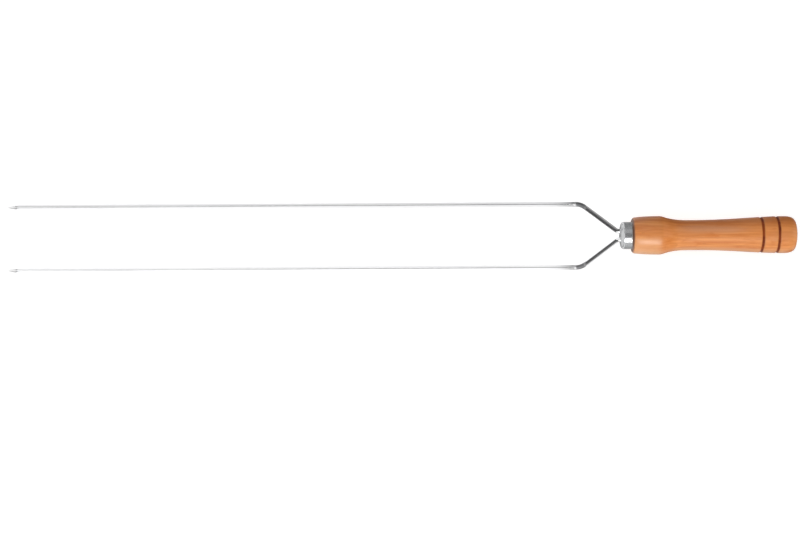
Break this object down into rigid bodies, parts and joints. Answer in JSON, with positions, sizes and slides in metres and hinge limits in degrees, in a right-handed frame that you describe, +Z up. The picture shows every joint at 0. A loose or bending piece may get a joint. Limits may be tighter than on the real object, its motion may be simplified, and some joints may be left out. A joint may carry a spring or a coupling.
{
  "type": "double-prong grill skewer",
  "caption": "Slim grill skewer with pointed parallel steel prongs that join in a Y and enter a turned wooden handle through a crowned metal ferrule.",
  "frame": {"origin": "halfway along the whole length, on the axis of the handle", "axes": "+X along the handle's axis towards its butt, so the points are at -X; the prongs lie side by side along Y, prong_right at +Y and prong_left at -Y; +Z up when the skewer lies flat"},
  "size_m": [0.6, 0.0516, 0.0294],
  "materials": {
    "handle_wood": "turned, clear lacquered, fine straight grain, two dark burnt rings near the butt",
    "ferrule_metal": "drawn sheet, bright zinc plated, semi-gloss",
    "prong_steel": "drawn wire, bright plated, glossy"
  },
  "bodies": {
    "root": {"handle": "handle_wood", "ferrule": "ferrule_metal", "prong_left": "prong_steel", "prong_right": "prong_steel"}
  },
  "joints": []
}
